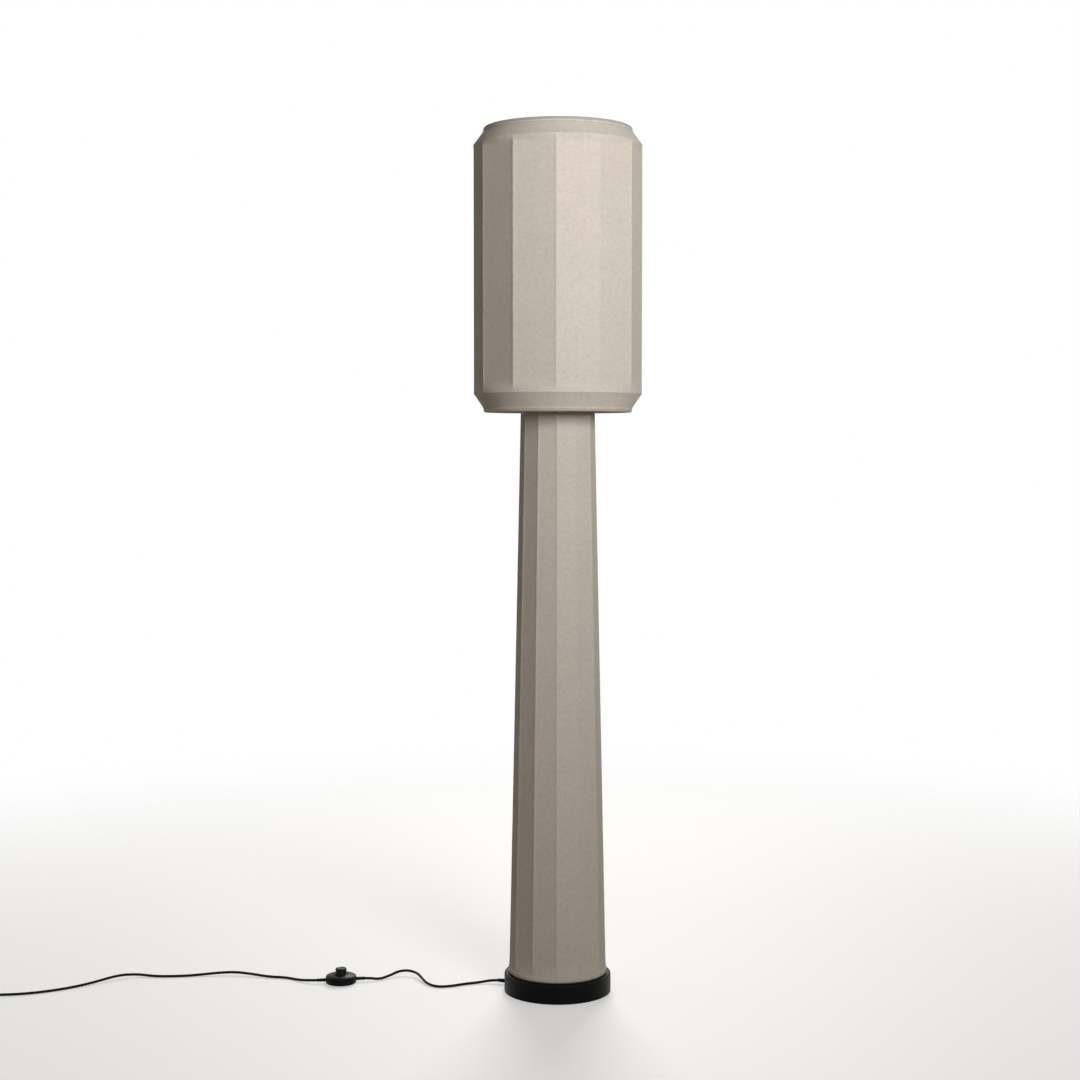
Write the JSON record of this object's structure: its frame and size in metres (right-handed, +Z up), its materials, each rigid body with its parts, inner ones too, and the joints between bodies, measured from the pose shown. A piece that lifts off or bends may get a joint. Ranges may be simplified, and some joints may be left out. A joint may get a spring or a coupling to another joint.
{
  "type": "floor lamp",
  "caption": "Slim floor lamp: a faceted fabric column on a round weighted base carries a taller faceted fabric shade; black lead with in-line foot switch and plug.",
  "frame": {"origin": "centre of the base at floor level, on the lamp's axis", "axes": "+Z up along the pole; the lamp's front, as pictured, looks along -Y; the lead lies towards -X"},
  "size_m": [1.328, 0.31, 1.6],
  "materials": {
    "base_black": "satin black powder coat",
    "cast_iron": "rough casting, primed",
    "pad_foam": "matte foam rubber",
    "cable_black": "satin black flexible sheath",
    "pole_zinc": "zinc plated tube",
    "thread_zinc": "zinc plated",
    "bush_brass": "turned brass",
    "frame_white": "white coated steel wire and strip",
    "column_fabric": "off-white linen weave, laminated",
    "shade_fabric": "off-white linen weave, laminated",
    "trim_fabric": "pale rolled edging",
    "holder_plastic": "white thermoplastic",
    "holder_ceramic": "unglazed steatite",
    "contact_brass": "bright brass",
    "bulb_opal": "opal, satin",
    "bulb_aluminium": "rolled thread",
    "bulb_seal": "black insulating seal",
    "bulb_solder": "solder",
    "switch_black": "satin black moulding",
    "button_black": "smooth black moulding",
    "block_plastic": "pale terminal moulding",
    "spring_steel": "spring wire",
    "plug_black": "satin black moulding",
    "pin_nickel": "nickel plated brass"
  },
  "bodies": {
    "stand": {"base_cover": "base_black", "base_weight": "cast_iron", "base_pad": "pad_foam", "base_gland": "cable_black", "foot_nipple": "thread_zinc", "foot_washer": "thread_zinc", "foot_nut": "thread_zinc", "inner_flex": "cable_black", "pole_lower": "pole_zinc", "pole_upper": "pole_zinc", "pole_bushes": "bush_brass", "joint_nipple": "thread_zinc", "holder_nipple": "thread_zinc", "column_cover": "column_fabric", "column_ribs": "frame_white", "column_foot_ring": "frame_white", "column_top_ring": "frame_white", "column_foot_spider": "frame_white", "column_top_spider": "frame_white", "column_foot_hem": "trim_fabric", "column_top_hem": "trim_fabric", "shade_cover": "shade_fabric", "shade_ribs": "frame_white", "shade_top_ring": "frame_white", "shade_bottom_ring": "frame_white", "shade_upper_hoop": "frame_white", "shade_lower_hoop": "frame_white", "shade_spider": "frame_white", "shade_top_trim": "trim_fabric", "shade_bottom_trim": "trim_fabric", "lampholder_cap": "holder_plastic", "lampholder_skirt": "holder_plastic", "lampholder_core": "holder_ceramic", "lampholder_terminals": "contact_brass", "lampholder_contact": "contact_brass", "lampholder_screw_shell": "contact_brass", "switch_base": "switch_black", "switch_cover": "switch_black", "switch_spring": "spring_steel", "switch_terminal_block": "block_plastic", "switch_contacts": "contact_brass", "switch_screws": "thread_zinc", "switch_strain_reliefs": "cable_black", "cord_base_to_switch": "cable_black", "cord_switch_to_coil": "cable_black", "cord_coil": "cable_black", "plug_body": "plug_black", "plug_pins": "pin_nickel", "plug_pin_sleeves": "plug_black"},
    "bulb": {"bulb_glass": "bulb_opal", "bulb_cap": "bulb_aluminium", "bulb_insulator": "bulb_seal", "bulb_contact": "bulb_solder"},
    "button": {"switch_button": "button_black"}
  },
  "joints": [
    {"name": "button_press", "type": "slide", "parent": "stand", "child": "button", "axis": [0, 0, -1], "range_m": [0, 0.0035], "stiffness_N_per_m": 600, "springref_m": -0.003, "deforming": ["switch_spring"]},
    {"name": "bulb_turn", "type": "hinge", "parent": "stand", "child": "bulb", "pos_m": [0, 0, 1.278], "axis": [0, 0, 1], "range_deg": [0, 1080]}
  ]
}
